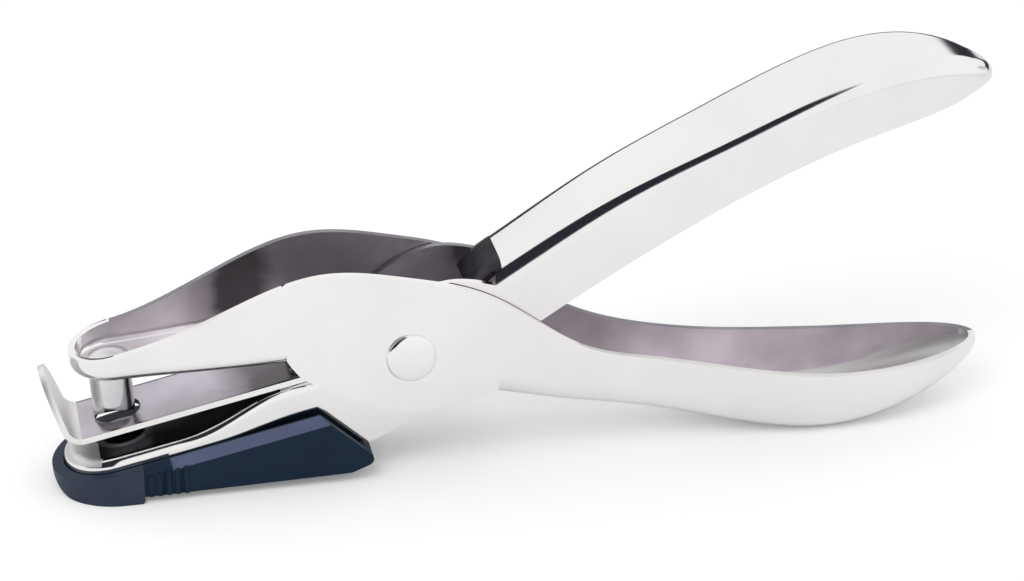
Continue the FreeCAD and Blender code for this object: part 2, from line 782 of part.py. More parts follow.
def make_return_spring():
    wire = size("spring_wire") / 2
    bush = size("rivet_diameter") / 2 + size("rivet_clearance") + size("bush_wall")
    coil = bush + size("spring_clearance") + wire
    turns = size("spring_turns")
    pitch = size("spring_pitch")
    clear = size("spring_clearance") + wire
    under_tongue = tongue_end(size("steel"))
    upper_seat = Vector(under_tongue[0], 0, under_tongue[1] - clear)
    lower_seat = Vector(size("root_x"), 0, size("steel") + clear - size("root_drop"))

    def contact(seat, way):
        """The angle at which the tangent through a leg's seat meets the coil."""
        reach = math.hypot(seat.x, seat.z)
        return math.atan2(seat.z, seat.x) + way * math.acos(coil / reach)

    start = contact(upper_seat, 1)
    end = contact(lower_seat, -1) + 2 * math.pi
    sweep = 2 * math.pi * (turns - 1) + end - start
    steps = int(turns * TURN_POINTS)
    shift = pitch * sweep / (4 * math.pi)
    points = [
        Vector(coil * math.cos(start + sweep * i / steps), -shift + 2 * shift * i / steps,
               coil * math.sin(start + sweep * i / steps))
        for i in range(steps + 1)
    ]
    upper_seat.y = -shift
    lower_seat.y = shift

    def leg_tip(seat, root):
        return seat + (seat - root).normalize() * size("spring_leg_end")

    upper_tip = leg_tip(upper_seat, points[0])
    helix = Part.BSplineCurve()
    helix.interpolate(points)
    path = Part.Wire([
        Part.LineSegment(upper_tip, points[0]).toShape(),
        helix.toShape(),
        Part.LineSegment(points[-1], leg_tip(lower_seat, points[-1])).toShape(),
    ])
    section = Part.Wire(Part.makeCircle(wire, upper_tip, points[0] - upper_tip))
    spring = doc.addObject("Part::Feature", "return_spring")
    spring.Shape = path.makePipeShell([section], True, True)
    return spring


# --- Chip cup: a soft cap under the lower jaw that catches the chips ---

def cup_side(rim_rise):
    """The cup's side outline under a rim that runs along the jaw."""
    half_width = size("die_jaw_half_width") + size("cup_clearance") + size("cup_wall")
    nose = -DIE_NOSE + size("die_jaw_half_width") - half_width
    nose -= size("cup_nose_proud")
    table = -size("pivot_height")
    rear_top = on_tilt(DIE_TILT, size("cup_rear_top_x"), rim_rise)
    rear_foot = (size("cup_rear_foot_x"), table + size("cup_rear_foot_height"))
    heel = (size("cup_bottom_rear_x"), table + size("cup_rear_lift"))
    toe = (nose + size("cup_nose_toe"), table)
    toe_rise = (nose, table + size("cup_nose_toe"))
    nose_top = on_tilt(DIE_TILT, nose, rim_rise)
    knee_share = size("cup_nose_toe") * (1 - math.cos(math.pi / 4))
    knee = (nose + knee_share, table + knee_share)
    return [
        line(nose_top, rear_top), line(rear_top, rear_foot), line(rear_foot, heel),
        line(heel, toe), arc(toe, knee, toe_rise), line(toe_rise, nose_top),
    ]


def cup_plan(half_width, nose_x, rear_x):
    centre_x = nose_x + half_width
    return [
        arc((centre_x, half_width), (nose_x, 0), (centre_x, -half_width)),
        line((centre_x, half_width), (rear_x, half_width)),
        line((rear_x, half_width), (rear_x, -half_width)),
        line((rear_x, -half_width), (centre_x, -half_width)),
    ]


def make_chip_cup():
    rim_rise = -size("die_face_drop") - size("cup_rim_drop")
    jaw = size("die_jaw_half_width") + size("cup_clearance")
    jaw_nose = -DIE_NOSE - size("cup_clearance")
    outer = jaw + size("cup_wall")
    nose_x = jaw_nose - size("cup_wall")
    proud = outer + size("cup_nose_proud")
    nose_end = jaw_nose + size("cup_nose_length") - size("cup_wall")
    side = prism("cup_side", cup_side(rim_rise), UPRIGHT, SPAN)
    main_plan = prism("cup_plan", cup_plan(outer, nose_x, 0), FLAT, 2 * SPAN)
    nose_plan = prism(
        "cup_nose_plan",
        cup_plan(proud, nose_x - size("cup_nose_proud"), nose_end),
        FLAT, 2 * SPAN)
    plans = join("Part::MultiFuse", "cup_plans", main_plan, nose_plan)
    blank = join("Part::Common", "cup_blank", side, plans)
    ribs = []
    for index in range(int(size("rib_count"))):
        front = nose_end + size("rib_pitch") * (index + 1) - size("rib_width")
        rib_reach = outer + size("rib_proud")
        corners = ((front, -rib_reach), (front + size("rib_width"), -rib_reach),
                   (front + size("rib_width"), rib_reach), (front, rib_reach))
        ribs.append(prism(f"cup_rib_{index + 1}", loop(corners), FLAT, 2 * SPAN))
    rib_block = join("Part::MultiFuse", "cup_ribs", *ribs)
    rib_side = prism(
        "cup_rib_side", cup_side(rim_rise - size("cup_band")), UPRIGHT, SPAN)
    rib_bars = join("Part::Common", "cup_rib_bars", rib_side, rib_block)
    solid = join("Part::MultiFuse", "cup_solid", blank, rib_bars)

    # The jaw drops into a pocket whose ledge carries the foot of its walls.
    gap = size("cup_clearance")
    nose_foot = on_tilt(
        DIE_TILT, -DIE_NOSE, -size("die_face_drop") - size("nose_wall"))
    heel = (size("heel_x"), -size("heel_drop"))
    slope = (heel[1] - nose_foot[1]) / (heel[0] - nose_foot[0])
    front_x = -NOSE
    ledge = [
        (front_x, nose_foot[1] + slope * (front_x - nose_foot[0]) - gap),
        (0.0, nose_foot[1] - slope * nose_foot[0] - gap),
        (0.0, SPAN / 2),
        (front_x, SPAN / 2),
    ]
    pocket_side = prism("cup_pocket_side", loop(ledge), UPRIGHT, SPAN)
    pocket_plan = prism("cup_pocket_plan", cup_plan(jaw, jaw_nose, 0), FLAT, 2 * SPAN)
    pocket = join("Part::Common", "cup_pocket", pocket_side, pocket_plan)
    seat = size("cup_seat_width")
    floor = -size("pivot_height") + size("cup_floor")
    rim = on_tilt(DIE_TILT, size("cup_rear_top_x"), rim_rise)
    foot = (size("cup_rear_foot_x"), -size("pivot_height") + size("cup_rear_foot_height"))
    lean = (foot[0] - rim[0]) / (foot[1] - rim[1])
    chamber_rear = rim[0] + lean * (floor - rim[1]) - size("cup_rear_wall")
    chamber_side = prism("cup_chamber_side", loop([
        (front_x, floor), (chamber_rear, floor), (chamber_rear - lean * floor, 0), (front_x, 0),
    ]), UPRIGHT, SPAN)
    chamber_plan = prism(
        "cup_chamber_plan", cup_plan(jaw - seat, jaw_nose + seat, 0), FLAT, 2 * SPAN)
    chamber = join("Part::Common", "cup_chamber", chamber_side, chamber_plan)
    return join("Part::Cut", "chip_cup", solid, pocket, chamber)


SUB_PARTS = (
    make_punch_lever,
    make_die_lever,
    make_punch_pin,
    make_die_bush,
    make_stripper_plate,
    make_stripper_rivets,
    make_pivot_rivet,
    make_pivot_bush,
    make_return_spring,
    make_chip_cup,
)

nodes = [make() for make in SUB_PARTS]
doc.recompute()
for node in nodes:
    node.Label = node.Name
    node.Placement = Placement(PIVOT, Rotation()).multiply(node.Placement)
doc.recompute()

for item in doc.Objects:
    if "Invalid" in item.State or "Error" in item.State:
        raise RuntimeError(f"{item.Name} failed: {item.State}")
os.makedirs("parts", exist_ok=True)
for node in nodes:
    if node.Shape.isNull() or not node.Shape.isValid():
        raise RuntimeError(f"{node.Label} has no valid shape")
    node.Shape.exportStep(f"parts/{node.Label}.step")
    box = node.Shape.BoundBox
    print(f"{node.Label}: {len(node.Shape.Solids)} solid, {node.Shape.Volume:.1f} mm3, "
          f"X {box.XMin:.2f} {box.XMax:.2f} Y {box.YMin:.2f} {box.YMax:.2f} "
          f"Z {box.ZMin:.2f} {box.ZMax:.2f}")
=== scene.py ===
"""Looks of the one-hole plier punch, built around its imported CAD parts.

Shapes are drawn in millimetres from the levers' pivot, +X towards the handles and +Z up, and
are set into the model's frame, in metres, by the place of the hinge. The near side is -Y.
"""
import json
import math

import bmesh
import bpy
import numpy as np
from mathutils import Matrix, Vector


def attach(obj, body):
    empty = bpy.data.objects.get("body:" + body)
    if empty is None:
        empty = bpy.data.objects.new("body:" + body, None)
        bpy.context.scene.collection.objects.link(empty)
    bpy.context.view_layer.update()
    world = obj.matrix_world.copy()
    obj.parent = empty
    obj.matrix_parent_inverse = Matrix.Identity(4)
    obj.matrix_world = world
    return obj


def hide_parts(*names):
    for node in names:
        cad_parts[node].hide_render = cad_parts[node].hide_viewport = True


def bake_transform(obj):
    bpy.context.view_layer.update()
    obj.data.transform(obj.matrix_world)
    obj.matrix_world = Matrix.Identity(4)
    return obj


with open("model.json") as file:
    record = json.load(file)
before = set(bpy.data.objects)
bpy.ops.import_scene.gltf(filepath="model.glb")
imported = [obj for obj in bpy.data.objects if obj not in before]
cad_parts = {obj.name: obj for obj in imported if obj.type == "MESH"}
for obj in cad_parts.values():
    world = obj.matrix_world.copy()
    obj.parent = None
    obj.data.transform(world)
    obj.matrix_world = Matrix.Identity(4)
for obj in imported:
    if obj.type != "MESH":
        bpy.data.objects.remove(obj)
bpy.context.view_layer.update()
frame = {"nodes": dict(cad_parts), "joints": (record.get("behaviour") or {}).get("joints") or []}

MM = 0.001
HINGE = next(joint for joint in frame["joints"] if joint["type"] == "hinge")
PIVOT = Vector(HINGE["pos_m"])
TABLE = -PIVOT.z / MM

# --- Sizes, in millimetres from the pivot ---

STEEL = 1.0
EDGE_BREAK = 0.16
DIE_TILT = math.radians(12)
PUNCH_TILT = math.radians(3)
REACH = 41.8
FLOOR_RISE = 1.3
FACE_DROP = 3.0
PLATE_SEAT = -0.2
PLATE_THICK = 0.85
PIN_RADIUS = 3.0
HEAD_RADIUS = 3.6
CHEEK = 7.85
INNER_CHEEK = 6.65
THROAT = -17.6
ROOT = 12.5
HUMP = -15
JAW_FOOT = 3.4
JAW_HEEL = (-5.7, -13.4)
RIVET_ALONG = -15.4
RIVET_ACROSS = 3.0
PLATE_TAIL = 12.6
ROUND = 96


# --- Curves ---

def tilted(tilt, along, rise):
    """A point given along and square to a jaw plane through the pivot, as (x, z)."""
    return (along * math.cos(tilt) - rise * math.sin(tilt),
            along * math.sin(tilt) + rise * math.cos(tilt))


def on_tilt(tilt, x, rise):
    """The point over x that lies that far above a jaw plane through the pivot."""
    return x, x * math.tan(tilt) + rise / math.cos(tilt)


def spline(points, first=None, last=None):
    """A cubic through the points as a function of x, with end slopes where they are given."""
    x, y = np.array(points, float).T
    step = np.diff(x)
    slope = np.diff(y) / step
    count = len(x)
    matrix = np.zeros((count, count))
    right = np.zeros(count)
    for i in range(1, count - 1):
        matrix[i, i - 1:i + 2] = 1 / step[i - 1], 2 / step[i - 1] + 2 / step[i], 1 / step[i]
        right[i] = 3 * (slope[i - 1] / step[i - 1] + slope[i] / step[i])
    for end, given, inward, chord in ((0, first, 1, slope[0]), (count - 1, last, -1, slope[-1])):
        if given is None:
            matrix[end, end] = 2
            matrix[end, end + inward] = 1
            right[end] = 3 * chord
        else:
            matrix[end, end] = 1
            right[end] = given
    m = np.linalg.solve(matrix, right)

    def at(where):
        where = np.asarray(where, float)
        i = np.clip(np.searchsorted(x, where) - 1, 0, count - 2)
        t = (where - x[i]) / step[i]
        return (y[i] * (1 + 2 * t) * (1 - t) ** 2 + y[i + 1] * t ** 2 * (3 - 2 * t)
                + step[i] * t * (1 - t) * (m[i] * (1 - t) - m[i + 1] * t))

    return at


def level(value):
    """The same value over all x."""
    return lambda x: np.full_like(x, value)


def chain(*parts):
    """One function from several, each given with the x at which it begins."""
    starts = np.array([start for start, _ in parts])

    def at(where):
        where = np.atleast_1d(np.asarray(where, float))
        which = np.clip(np.searchsorted(starts, where, side="right") - 1, 0, len(parts) - 1)
        result = np.empty_like(where)
        for k, (_, part) in enumerate(parts):
            chosen = which == k
            result[chosen] = part(where[chosen])
        return result

    return at


def plan(nose, nose_radius, sides, widest, half_width, tail):
    """Half the width over x: a round nose, the sides' function, an oval tail."""
    def nose_round(x):
        return np.sqrt(np.clip(nose_radius ** 2 - (nose + nose_radius - x) ** 2, 0, None))

    def tail_oval(x):
        share = np.clip((x - widest) / (tail - widest), 0, 1)
        return half_width * np.sqrt(1 - share ** 2)

    return chain((nose, nose_round), (nose + nose_radius, sides), (widest, tail_oval))


def stations(nose, nose_radius, widest, tail, breaks):
    """Places along a lever, close together at its round ends and on both sides of a break."""
    turn = np.linspace(0, math.pi / 2, 22)
    ends = [nose + nose_radius * (1 - np.cos(turn)), widest + (tail - widest) * np.sin(turn)]
    body = np.arange(nose + nose_radius + 1, widest - 0.5, 1.1)
    sides = [np.array([place - 0.002, place + 0.002]) for place in breaks]
    clear = [x for x in body if min(abs(x - place) for place in breaks) > 0.3]
    return np.unique(np.round(np.concatenate([*ends, clear, *sides]), 5))


# --- Meshes ---

def placed(points):
    return [PIVOT + Vector(point) * MM for point in points]


def mesh_object(name, points, faces):
    """A mesh from points in millimetres, with touching points merged and normals outward."""
    mesh = bpy.data.meshes.new(name)
    mesh.from_pydata(placed(points), [], faces)
    work = bmesh.new()
    work.from_mesh(mesh)
    bmesh.ops.remove_doubles(work, verts=work.verts, dist=0.004 * MM)
    bmesh.ops.dissolve_degenerate(work, edges=work.edges, dist=0.002 * MM)
    bmesh.ops.recalc_face_normals(work, faces=work.faces)
    work.to_mesh(mesh)
    work.free()
    for polygon in mesh.polygons:
        polygon.use_smooth = True
    thing = bpy.data.objects.new(name, mesh)
    bpy.context.scene.collection.objects.link(thing)
    return thing


def grid_faces(rows, columns, offset=0, flip=False):
    """Quads over a grid of points stored row by row."""
    faces = []
    for i in range(rows - 1):
        for j in range(columns - 1):
            a = offset + i * columns + j
            quad = (a, a + 1, a + columns + 1, a + columns)
            faces.append(quad[::-1] if flip else quad)
    return faces


def use(thing, kind, name, **settings):
    """Adds a modifier with the given settings."""
    modifier = thing.modifiers.new(name, kind)
    for key, value in settings.items():
        setattr(modifier, key, value)
    return modifier


def carve(thing, *cutters, operation="DIFFERENCE"):
    """Adds a Boolean for each cutter, applied by settle."""
    for cutter in cutters:
        use(thing, "BOOLEAN", "carve", object=cutter, operation=operation, solver="EXACT")


def break_edges(thing, width=EDGE_BREAK, degrees=40, segments=2):
    """Rounds the edges sharper than an angle, by a width in millimetres."""
    use(thing, "BEVEL", "edges", width=width * MM, segments=segments, limit_method="ANGLE",
        angle_limit=math.radians(degrees), use_clamp_overlap=True)
    use(thing, "WEIGHTED_NORMAL", "shading", keep_sharp=False, weight=80)


def settle(thing, *helpers):
    """Applies the modifiers and removes the helper objects."""
    graph = bpy.context.evaluated_depsgraph_get()
    mesh = bpy.data.meshes.new_from_object(thing.evaluated_get(graph))
    thing.modifiers.clear()
    thing.data = mesh
    for helper in helpers:
        bpy.data.objects.remove(helper)
    return thing


def lathe(profile, segments):
    """Turned about local Z from (radius, height) pairs, lowest first, closed at both ends."""
    points = []
    for radius, height in profile:
        for k in range(segments + 1):
            angle = 2 * math.pi * k / segments
            points.append((radius * math.cos(angle), radius * math.sin(angle), height))
    return points, grid_faces(len(profile), segments + 1)


def turned(name, profile, centre, axis, segments=ROUND):
    """A lathe piece set on a point, in millimetres, along an axis."""
    points, faces = lathe(profile, segments)
    turn = Vector((0, 0, 1)).rotation_difference(Vector(axis)).to_matrix()
    return mesh_object(name, [turn @ Vector(p) + Vector(centre) for p in points], faces)


def prism(name, outline, low, high, plane="XZ"):
    """A closed outline carried from low to high across its plane."""
    count = len(outline)
    if plane == "XZ":
        points = [(x, y, z) for y in (low, high) for x, z in outline]
    else:
        points = [(x, y, z) for z in (low, high) for x, y in outline]
    faces = [tuple(range(count)), tuple(range(2 * count - 1, count - 1, -1))]
    for i in range(count):
        j = (i + 1) % count
        faces.append((i, i + count, j + count, j))
    return mesh_object(name, points, faces)


# --- Materials ---

def material(name):
    """A new node material, with its nodes, its links and its shader."""
    made = bpy.data.materials.new(name)
    made.use_nodes = True
    nodes = made.node_tree.nodes
    return made, nodes, made.node_tree.links, nodes["Principled BSDF"]


def noise(nodes, links, scale, detail=3.0, roughness=0.5):
    """Noise over the object's own metres, with scale in cycles per metre."""
    place = nodes.new("ShaderNodeTexCoord")
    texture = nodes.new("ShaderNodeTexNoise")
    texture.inputs["Scale"].default_value = scale
    texture.inputs["Detail"].default_value = detail
    texture.inputs["Roughness"].default_value = roughness
    links.new(place.outputs["Object"], texture.inputs["Vector"])
    return texture.outputs["Fac"]


def ramp(nodes, links, value, stops):
    """A colour ramp over a value; stops are (place, colour)."""
    made = nodes.new("ShaderNodeValToRGB")
    bar = made.color_ramp
    for k, (place, colour) in enumerate(stops):
        stop = bar.elements[k] if k < 2 else bar.elements.new(place)
        stop.position = place
        stop.color = (*colour, 1)
    links.new(value, made.inputs["Fac"])
    return made.outputs["Color"]


def bump(nodes, links, shader, height, distance, strength=1.0):
    made = nodes.new("ShaderNodeBump")
    made.inputs["Strength"].default_value = strength
    made.inputs["Distance"].default_value = distance
    links.new(height, made.inputs["Height"])
    links.new(made.outputs["Normal"], shader.inputs["Normal"])


def math_node(nodes, links, operation, first, second):
    made = nodes.new("ShaderNodeMath")
    made.operation = operation
    links.new(first, made.inputs[0])
    links.new(second, made.inputs[1])
    return made.outputs[0]


def grey(value):
    return value, value, value


def metal(name, low, high, smooth, rough, scale, ripple, shade=None):
    """Metal whose colour and roughness wander between two values over a noise.

    shade lists (x, share) pairs: a painted reflection, a fixed darkening over x, in millimetres
    from the pivot. It stands for dark things that the real metal mirrors there and is the same
    from every side.
    """
    made, nodes, links, shader = material(name)
    shader.inputs["Metallic"].default_value = 1.0
    cloud = noise(nodes, links, scale)
    colour = ramp(nodes, links, cloud, [(0.35, low), (0.65, high)])
    if shade:
        # Painted reflection: the colour is multiplied by the fixed greys of shade.
        reflection_paint_mix = nodes.new("ShaderNodeMix")
        reflection_paint_mix.data_type = "RGBA"
        reflection_paint_mix.blend_type = "MULTIPLY"
        reflection_paint_mix.inputs["Factor"].default_value = 1.0
        links.new(colour, reflection_paint_mix.inputs["A"])
        links.new(shade_along(nodes, links, shade), reflection_paint_mix.inputs["B"])
        colour = reflection_paint_mix.outputs["Result"]
    links.new(colour, shader.inputs["Base Color"])
    links.new(ramp(nodes, links, cloud, [(0.3, grey(rough)), (0.7, grey(smooth))]),
              shader.inputs["Roughness"])
    bump(nodes, links, shader, noise(nodes, links, 800, 2.0), ripple * MM)
    return made


def shade_along(nodes, links, shade):
    """Painted reflection: greys over the part's length, edges broken up by a coarse noise."""
    reach, stray = 90.0, 4.0
    place = nodes.new("ShaderNodeTexCoord")
    axes = nodes.new("ShaderNodeSeparateXYZ")
    links.new(place.outputs["Object"], axes.inputs[0])
    blur = nodes.new("ShaderNodeMapRange")
    blur.inputs["To Min"].default_value = -stray * MM
    blur.inputs["To Max"].default_value = stray * MM
    links.new(noise(nodes, links, 160), blur.inputs["Value"])
    moved = math_node(nodes, links, "ADD", axes.outputs["X"], blur.outputs["Result"])
    share = nodes.new("ShaderNodeMapRange")
    share.inputs["From Min"].default_value = PIVOT.x - reach * MM
    share.inputs["From Max"].default_value = PIVOT.x + reach * MM
    links.new(moved, share.inputs["Value"])
    stops = [((x + reach) / (2 * reach), grey(bright)) for x, bright in shade]
    return ramp(nodes, links, share.outputs["Result"], stops)


def rubber(name, low, high, specular):
    """Matt rubber with a fine grain."""
    made, nodes, links, shader = material(name)
    cloud = noise(nodes, links, 90, 4.0, 0.6)
    links.new(ramp(nodes, links, cloud, [(0.3, low), (0.7, high)]), shader.inputs["Base Color"])
    links.new(ramp(nodes, links, cloud, [(0.3, grey(0.42)), (0.7, grey(0.54))]),
              shader.inputs["Roughness"])
    shader.inputs["Specular IOR Level"].default_value = specular
    bump(nodes, links, shader, noise(nodes, links, 2600, 2.0), 0.02 * MM, 0.6)
    return made


PLATED = metal("bright_plate", (0.89, 0.88, 0.87), (0.94, 0.93, 0.92), 0.08, 0.12, 60, 0.004)
PLATED_DIE = metal("bright_plate_die", (0.86, 0.845, 0.84), (0.91, 0.895, 0.89), 0.08, 0.12, 60,
                   0.004)
# Inner walls: a duller plate, whose shade is a painted reflection darkening it at set places over
# x.
INSIDE = metal("dull_plate_painted_reflection", (0.72, 0.66, 0.72), (0.95, 0.88, 0.95), 0.30, 0.42, 110, 0.005,
               shade=[(-50, 0.7), (-38, 0.75), (-30, 1.0), (-26.5, 0.8), (-24.5, 0.25),
                      (-20, 0.25), (-17, 0.7), (2, 0.9), (11, 0.4), (17, 0.85), (50, 1.0)])
# The stripper plate: darker steel, whose shade is a painted reflection that darkens its rear.
PLATE = metal("plate_steel", (0.45, 0.42, 0.47), (0.57, 0.53, 0.595), 0.14, 0.24, 80, 0.006,
              shade=[(-60, 1.0), (-27, 1.0), (-22, 0.3), (-12, 0.2)])
# Near-black painted shade: a painted shadow under the stripper plate and in its hole, and a
# painted reflection on the die lever's rolled tongue.
PAINTED_SHADE = metal("painted_shade_black", (0.02, 0.02, 0.025), (0.06, 0.055, 0.065), 0.3, 0.45, 110, 0.01)
CUT_EDGE = metal("cut_edge", (0.26, 0.25, 0.28), (0.36, 0.35, 0.38), 0.4, 0.5, 110, 0.005)
# Satin plate: rougher plating on the levers' floors; on the stripper plate's front and lip, where
# it is lighter than the plate, a painted highlight.
SATIN_AND_HIGHLIGHT = metal("satin_plate_and_painted_highlight", (0.86, 0.85, 0.84), (0.92, 0.91, 0.90), 0.48, 0.60, 90, 0.005)
TOOL = metal("ground_steel", (0.66, 0.65, 0.66), (0.78, 0.77, 0.78), 0.12, 0.20, 140, 0.004)
# Near-black painted shadow for the bushes, seen in the die's hole.
BUSH = metal("bush_painted_shadow", (0.10, 0.10, 0.11), (0.18, 0.17, 0.19), 0.25, 0.40, 140, 0.004)
SPRING = metal("spring_wire", (0.28, 0.27, 0.29), (0.42, 0.41, 0.43), 0.22, 0.32, 200, 0.006)
# The real cup is one moulding; here its nose and its chamfered edge get lighter rubbers.
RUBBER = rubber("navy_rubber", (0.004, 0.014, 0.028), (0.008, 0.021, 0.041), 0.12)
# Painted highlight: the nose and the chamfered edge are lighter rubbers for the light they catch.
RUBBER_NOSE_HIGHLIGHT = rubber("navy_rubber_nose_painted_highlight", (0.020, 0.030, 0.052), (0.030, 0.041, 0.070), 0.2)
RUBBER_EDGE_HIGHLIGHT = rubber("navy_rubber_edge_painted_highlight", (0.060, 0.077, 0.140), (0.080, 0.100, 0.175), 0.25)


def dress(thing, *materials):
    """Gives a piece its material slots, in this order."""
    thing.data.materials.clear()
    for one in materials:
        thing.data.materials.append(one)
    return thing


# --- The pressed levers ---

def lever_skin(name, places, half_width, web, rim, cheek, bend, way, open_span, tongue=None):
    """A pressed channel: walls along its plan, bent at the web, with the web cut away between.

    way is -1 where the web is below and 1 where it is above. bend gives the radius over x. In
    open_span there is no web, and the walls end at the cheek line. tongue holds half the width
    of the tongue, and the steps that carry the web's front end on.
    """
    wall_rows, bend_rows, cross_rows = 7, 9, 15
    width = half_width(places)
    width[0] = width[-1] = 0.0
    ahead = np.gradient(width, places, edge_order=1)
    length = np.hypot(1, ahead)
    inward_x, inward_y = ahead / length, 1 / length
    inward_x[0], inward_y[0] = 1.0, 0.0
    inward_x[-1], inward_y[-1] = -1.0, 0.0
    opened = (places > open_span[0]) & (places < open_span[1])
    rim_z, cheek_z = rim(places), cheek(places)
    depth = np.abs(web(places) - rim_z)
    radius = np.minimum(bend(places), 0.8 * depth)

    def column(i, side):
        """One station's points from the rim down the wall, and on to the web's edge."""
        x, y = places[i], side * width[i]
        foot = cheek_z[i] if opened[i] else web(x)[0] - way * radius[i]
        wall = [(x, y, z) for z in np.linspace(rim_z[i], foot, wall_rows)]
        if opened[i]:
            return wall, None
        turn = []
        for angle in np.linspace(0, math.pi / 2, bend_rows):
            inset = radius[i] * (1 - math.cos(angle))
            at_x = x + inward_x[i] * inset
            at_y = side * (width[i] - inward_y[i] * inset)
            drop = radius[i] * (1 - math.sin(angle))
            turn.append((at_x, at_y, web(at_x)[0] - way * drop))
        return wall, turn

    points, faces = [], []

    def add_grid(rows):
        start = len(points)
        for row in rows:
            points.extend(row)
        faces.extend(grid_faces(len(rows), len(rows[0]), start))

    runs, current = [], [0]
    for i in range(1, len(places)):
        if opened[i] != opened[i - 1]:
            runs.append(current)
            current = []
        current.append(i)
    runs.append(current)
    for side in (-1, 1):
        add_grid([column(i, side)[0] for i in range(len(places))])
    for run in runs:
        if opened[run[0]]:
            continue
        sections = []
        for i in run:
            near, far = column(i, -1)[1], column(i, 1)[1]
            share = np.linspace(0, 1, cross_rows + 2)[1:-1]
            a, b = np.array(near[-1]), np.array(far[-1])
            across = [tuple(a + (b - a) * t) for t in share]
            sections.append(near + across + far[::-1])
        add_grid(sections)
        if tongue and abs(places[run[0]] - open_span[1]) < 0.01:
            half, steps = tongue
            kept = [p for p in sections[0] if abs(p[1]) <= half]
            add_grid([[(p[0] + dx, p[1], p[2] + dz) for p in kept] for dx, dz in steps])
    skin = mesh_object(name, points, faces)
    outward = sum(f.normal.y * (1 if f.center.y > PIVOT.y else -1) for f in skin.data.polygons)
    if outward < 0:
        skin.data.flip_normals()
    use(skin, "SOLIDIFY", "sheet", thickness=STEEL * MM, offset=-1, use_even_offset=True,
        use_rim=True, material_offset=1, material_offset_rim=2)
    return skin


def punch_lever_skin():
    nose, nose_radius, widest, tail = -47.4, 6.3, 62.0, 86.29
    half = 8.4
    sides = chain(
        (nose, spline([(nose + nose_radius, nose_radius), (-31.2, 7.075), (HUMP, CHEEK)], 0, 0)),
        (HUMP, level(CHEEK)),
        (19, spline([(19, CHEEK), (36, 6.3), (widest, half)], 0, 0)),
    )
    rim = spline([
        (-48.4, 2.0), (-38, 4.2), (-28, 8.2), (-13, 13.6), (0, 12), (ROOT, 7.7), (24, -0.4),
        (36, -4.7), (66, -9.4), (87.3, -8.3)])
    floor = chain(
        (nose, lambda x: on_tilt(PUNCH_TILT, x, FLOOR_RISE)[1]),
        ((THROAT + ROOT) / 2, spline([(ROOT, -7.6), (36, -13.5), (66, -18.05), (87.3, -11)])),
    )
    cheek = spline([
        (THROAT, 1.2), (-16.2, -1.0), (-13.6, -3.0), (-11.4, -4.3), (0, -8.5), (ROOT, -6.6)])
    bend = chain((nose, level(2.0)), (THROAT + 1, level(3.0)))
    return lever_skin(
        "punch_lever_skin", stations(nose, nose_radius, widest, tail, (THROAT, ROOT)),
        plan(nose, nose_radius, sides, widest, half, tail), floor, rim, cheek, bend, -1,
        (THROAT, ROOT))


def die_lever_skin():
    nose, nose_radius, widest, tail = -48.9, 7.5, 64.0, 86.0
    half = 8.6
    web_end = tilted(DIE_TILT, -PLATE_TAIL, PLATE_SEAT)
    neck = -28.0
    grip = 14.0
    sides = chain(
        (nose, level(nose_radius)),
        (neck, spline([(neck, nose_radius),
                       ((neck + HUMP) / 2, (nose_radius + INNER_CHEEK) / 2),
                       (HUMP, INNER_CHEEK)], 0, 0)),
        (HUMP, level(INNER_CHEEK)),
        (grip, spline([(grip, INNER_CHEEK), ((grip + widest) / 2, (INNER_CHEEK + half) / 2),
                       (widest, half)], 0, 0)),
    )
    ramp_front = tilted(DIE_TILT, -34.0, -FACE_DROP)
    ramp_rear = tilted(DIE_TILT, -18.5, PLATE_SEAT)
    slope = math.tan(DIE_TILT)
    cheek_top = spline([web_end, (-2.8, 6.7), (6.2, 10.6), (ROOT, 9.5)])
    root = (ROOT, 11.7)
    spine = spline([
        root, (28, 21), (44, 28.5), (74, 38.22), (80.5, 37.3), (84.5, 35.6), (87, 34.0)])
    web = chain(
        (nose, lambda x: on_tilt(DIE_TILT, x, -FACE_DROP)[1]),
        (ramp_front[0], spline([ramp_front, ramp_rear], slope, slope)),
        (ramp_rear[0], lambda x: on_tilt(DIE_TILT, x, PLATE_SEAT)[1]),
        (0, spine),
    )
    nose_foot = on_tilt(DIE_TILT, nose - STEEL, -FACE_DROP - JAW_FOOT)
    belly, grip_start = (3.0, -9.2), (grip, 0.2)
    foot = chain(
        (nose, spline([nose_foot, JAW_HEEL])),
        (JAW_HEEL[0], spline([JAW_HEEL, belly])),
        (belly[0], spline([belly, grip_start])),
        (grip, spline([grip_start, (41, 17), (70, 29.5), (79, 31.6), (84, 33.0), (87, 33.5)])),
    )
    steps = tongue_steps(root, (8.7, 8.2), math.radians(31), math.radians(54))
    bend = chain((nose, level(1.3)),
                 (0, spline([(0, 3.6), (16, 3.5), (32, 2.5), (58, 2.4), (tail, 2.4)])))
    return lever_skin(
        "die_lever_skin", stations(nose, nose_radius, widest, tail, (web_end[0], ROOT)),
        plan(nose, nose_radius, sides, widest, half, tail), web, foot, cheek_top, bend, 1,
        (web_end[0], ROOT), tongue=(5.35, steps))


def tongue_steps(root, tip, root_slope, tip_slope):
    """The moves that carry the web's front section down a curve to the tongue's tip."""
    steps = []
    for t in np.linspace(0, 1, 9):
        lean = root_slope + (tip_slope - root_slope) * t
        steps.append((-math.cos(lean), -math.sin(lean)))
    travel = np.cumsum(np.array([(0.0, 0.0)] + steps[1:]), axis=0)
    scale = math.dist(root, tip) / math.hypot(*travel[-1])
    return [tuple(move) for move in travel * scale]


def refinish(thing, chosen, index):
    """Moves the faces that chosen(index, centre, normal) picks to another slot; centres in mm."""
    for face in thing.data.polygons:
        centre = (face.center - PIVOT) / MM
        if chosen(face.material_index, centre, face.normal):
            face.material_index = index


